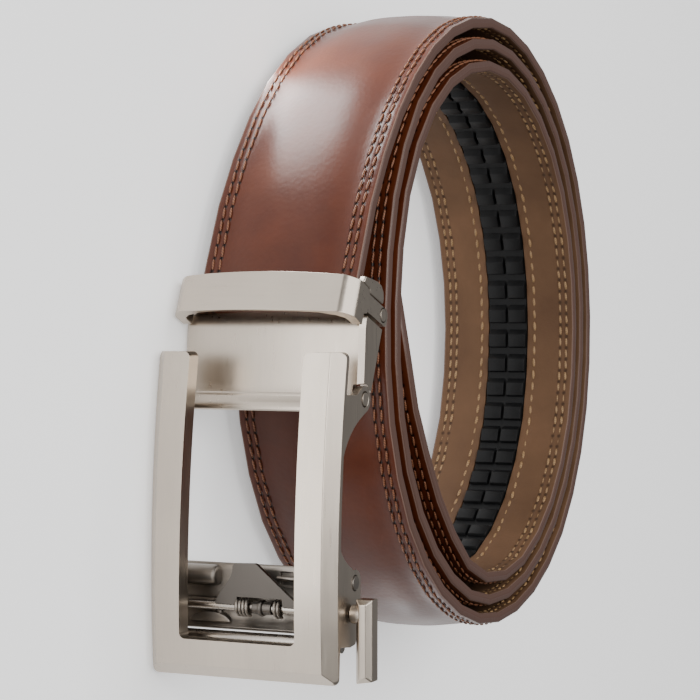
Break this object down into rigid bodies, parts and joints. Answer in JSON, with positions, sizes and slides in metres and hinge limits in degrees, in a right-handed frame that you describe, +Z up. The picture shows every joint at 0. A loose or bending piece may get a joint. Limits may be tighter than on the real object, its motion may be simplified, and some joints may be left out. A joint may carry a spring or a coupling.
{
  "type": "ratchet_belt",
  "caption": "Rolled brown leather belt with stitched margins, tan lining, toothed ratchet track and a satin metal frame buckle with a side release lever",
  "frame": {"origin": "bottom centre of the bounding box, on the floor under the rolled belt", "axes": "+Z up, across the strap's width; +X down the buckle to its free end; +Y from the buckle's face into the coil"},
  "size_m": [0.1406, 0.1616, 0.0455],
  "materials": {
    "leather_face": "semi_gloss",
    "leather_lining": "matte",
    "track_plastic": "matte",
    "satin_metal": "satin",
    "steel": "polished"
  },
  "bodies": {
    "strap": {"strap_leather": "leather_face", "strap_lining": "leather_lining", "ratchet_track": "track_plastic", "clip_bar": "satin_metal", "strap_clamp": "satin_metal", "hinge_plate": "satin_metal", "clamp_pin": "steel", "hinge_pin_low": "steel", "hinge_pin_high": "steel"},
    "frame": {"buckle_frame": "satin_metal", "back_plate": "steel", "roller_bar": "steel", "stub_pin_low": "steel", "stub_pin_high": "steel", "spring_low": "steel", "spring_high": "steel"},
    "release": {"pawl": "steel", "release_axle": "steel", "release_lever": "satin_metal"}
  },
  "joints": [
    {"name": "frame_pivot", "type": "hinge", "parent": "strap", "child": "frame", "pos_m": [0.01476, -0.06536, 0.0205], "axis": [0, 0, -1], "range_deg": [-12, 28]},
    {"name": "release_lever", "type": "hinge", "parent": "frame", "child": "release", "pos_m": [0.05586, -0.07196, 0.0205], "axis": [0, 0, -1], "range_deg": [0, 18], "stiffness_Nm_per_rad": 0.02, "springref_deg": -20.05}
  ]
}
